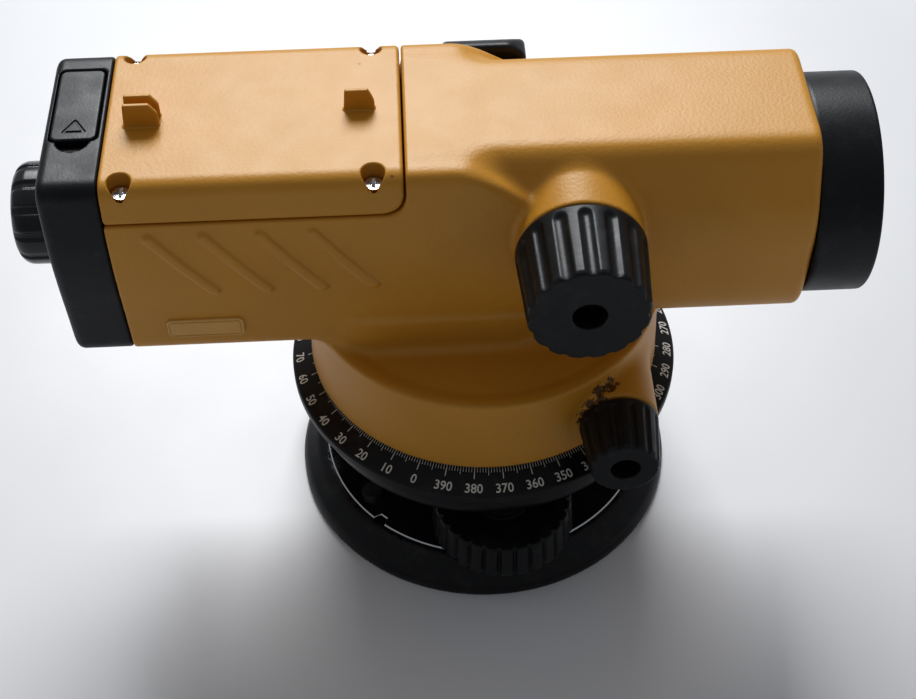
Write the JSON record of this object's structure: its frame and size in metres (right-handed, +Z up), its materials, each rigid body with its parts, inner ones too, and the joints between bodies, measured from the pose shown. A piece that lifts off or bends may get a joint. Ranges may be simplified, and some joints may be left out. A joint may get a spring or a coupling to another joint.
{
  "type": "automatic level",
  "caption": "Automatic surveying level with a telescope on a turning graduated circle, focus and fine motion knobs, and a levelling base with a tripod thread.",
  "frame": {"origin": "centre of the mouth of the tripod thread, on the vertical axis, in the underside of the base plate", "axes": "+X along the telescope towards the objective, +Z up along the vertical axis, -Y towards the focus knob"},
  "size_m": [0.215, 0.116, 0.1406],
  "materials": {
    "yellow_shell": "fine textured ochre paint on a die casting",
    "black_metal": "satin black paint on a die casting",
    "black_plastic": "fine satin black moulding",
    "knob_plastic": "polished black moulding",
    "circle_plastic": "satin black with white graduations",
    "steel": "turned steel",
    "spring_steel": "rolled spring steel",
    "chrome_screw": "bright plated",
    "brass": "turned brass",
    "aluminium": "machined",
    "anodised": "black anodised",
    "optical_glass": "coated optical glass",
    "vial_glass": "green-yellow vial liquid",
    "magnet": "sintered magnet"
  },
  "bodies": {
    "base": {"base_plate": "black_metal", "thread_insert": "brass", "spring_plate": "spring_steel", "spring_plate_screws": "steel"},
    "foot_1": {"foot_screw_1": "steel", "foot_knob_1": "knob_plastic"},
    "foot_2": {"foot_screw_2": "steel", "foot_knob_2": "knob_plastic"},
    "foot_3": {"foot_screw_3": "steel", "foot_knob_3": "knob_plastic"},
    "tribrach": {"tribrach_plate": "black_metal", "foot_screw_bushes": "brass", "axis_bush": "brass"},
    "circle": {"horizontal_circle": "circle_plastic"},
    "alidade": {"housing": "yellow_shell", "cover_plate": "yellow_shell", "cover_screws": "chrome_screw", "rear_cap": "black_plastic", "label_plate": "yellow_shell", "objective_hood": "black_plastic", "objective_cell": "anodised", "objective_lens": "optical_glass", "focus_tube": "aluminium", "focus_bush": "brass", "spindle": "steel", "spindle_screws": "steel", "spindle_nut": "steel", "worm_bushes": "brass", "compensator_frame": "aluminium", "suspension_tapes": "spring_steel", "fixed_prisms": "optical_glass", "damper_magnets": "magnet", "reticle_ring": "brass", "reticle_glass": "optical_glass", "reticle_screw": "steel", "eyepiece_sleeve": "anodised", "vial_bracket": "black_metal", "vial_cup": "aluminium", "vial_glass": "vial_glass", "vial_screws": "steel", "vial_hood": "black_plastic", "vial_prism": "optical_glass"},
    "focus_carriage": {"focus_cell": "anodised", "focus_lens": "optical_glass"},
    "focus_drive": {"focus_shaft": "steel", "focus_knob": "knob_plastic"},
    "fine_drive": {"worm": "steel", "fine_knob_near": "knob_plastic", "fine_knob_far": "knob_plastic"},
    "clutch_wheel": {"worm_wheel": "brass"},
    "pendulum": {"pendulum_frame": "brass", "pendulum_prism": "optical_glass", "damper_vane": "aluminium"},
    "reticle_lid": {"reticle_cover": "black_plastic"},
    "eyepiece_slide": {"eyepiece_cell": "anodised", "eyepiece_lens": "optical_glass"},
    "eyepiece_ring": {"eyepiece_knob": "knob_plastic"}
  },
  "joints": [
    {"name": "foot_screw_1_turn", "type": "hinge", "parent": "base", "child": "foot_1", "pos_m": [0.00338, -0.03715, 0.0062], "axis": [0, 0, 1], "range_deg": [-950, 950]},
    {"name": "foot_screw_2_turn", "type": "hinge", "parent": "base", "child": "foot_2", "pos_m": [0.03048, 0.0215, 0.0062], "axis": [0, 0, 1], "range_deg": [-950, 950]},
    {"name": "foot_screw_3_turn", "type": "hinge", "parent": "base", "child": "foot_3", "pos_m": [-0.03386, 0.01565, 0.0062], "axis": [0, 0, 1], "range_deg": [-950, 950]},
    {"name": "tribrach_lift", "type": "slide", "parent": "base", "child": "tribrach", "axis": [0, 0, 1], "range_m": [-0.002, 0.002]},
    {"name": "circle_turn", "type": "hinge", "parent": "tribrach", "child": "circle", "pos_m": [0, 0, 0.0445], "axis": [0, 0, 1], "continuous": true},
    {"name": "alidade_turn", "type": "hinge", "parent": "tribrach", "child": "alidade", "pos_m": [0, 0, 0.05], "axis": [0, 0, 1], "continuous": true},
    {"name": "focus_turn", "type": "hinge", "parent": "alidade", "child": "focus_drive", "pos_m": [0.0218, -0.032, 0.113], "axis": [0, 1, 0], "range_deg": [-286, 286]},
    {"name": "focus_carriage_slide", "type": "slide", "parent": "alidade", "child": "focus_carriage", "axis": [1, 0, 0], "range_m": [-0.008, 0.008]},
    {"name": "fine_turn", "type": "hinge", "parent": "alidade", "child": "fine_drive", "pos_m": [0.033, 0, 0.0602], "axis": [0, 1, 0], "continuous": true},
    {"name": "clutch_wheel_turn", "type": "hinge", "parent": "alidade", "child": "clutch_wheel", "pos_m": [0, 0, 0.0602], "axis": [0, 0, 1], "continuous": true},
    {"name": "pendulum_swing", "type": "hinge", "parent": "alidade", "child": "pendulum", "pos_m": [-0.044, 0, 0.1167], "axis": [0, 1, 0], "range_deg": [-0.5, 0.5]},
    {"name": "eyepiece_slide_move", "type": "slide", "parent": "alidade", "child": "eyepiece_slide", "axis": [-1, 0, 0], "range_m": [0, 0.0025]},
    {"name": "eyepiece_turn", "type": "hinge", "parent": "eyepiece_slide", "child": "eyepiece_ring", "pos_m": [-0.112, 0, 0.1033], "axis": [-1, 0, 0], "range_deg": [0, 300]},
    {"name": "reticle_cover_lift", "type": "slide", "parent": "alidade", "child": "reticle_lid", "axis": [0, 0, 1], "range_m": [0, 0.03]}
  ],
  "couplings": [
    {"joint": "foot_screw_2_turn", "follows": "foot_screw_1_turn", "ratio": 1},
    {"joint": "foot_screw_3_turn", "follows": "foot_screw_1_turn", "ratio": 1},
    {"joint": "tribrach_lift", "follows": "foot_screw_1_turn", "m_per_rad": 0.00011937},
    {"joint": "focus_carriage_slide", "follows": "focus_turn", "m_per_rad": -0.0016},
    {"joint": "clutch_wheel_turn", "follows": "fine_turn", "ratio": 0.016667},
    {"joint": "eyepiece_slide_move", "follows": "eyepiece_turn", "m_per_rad": 0.00047}
  ]
}
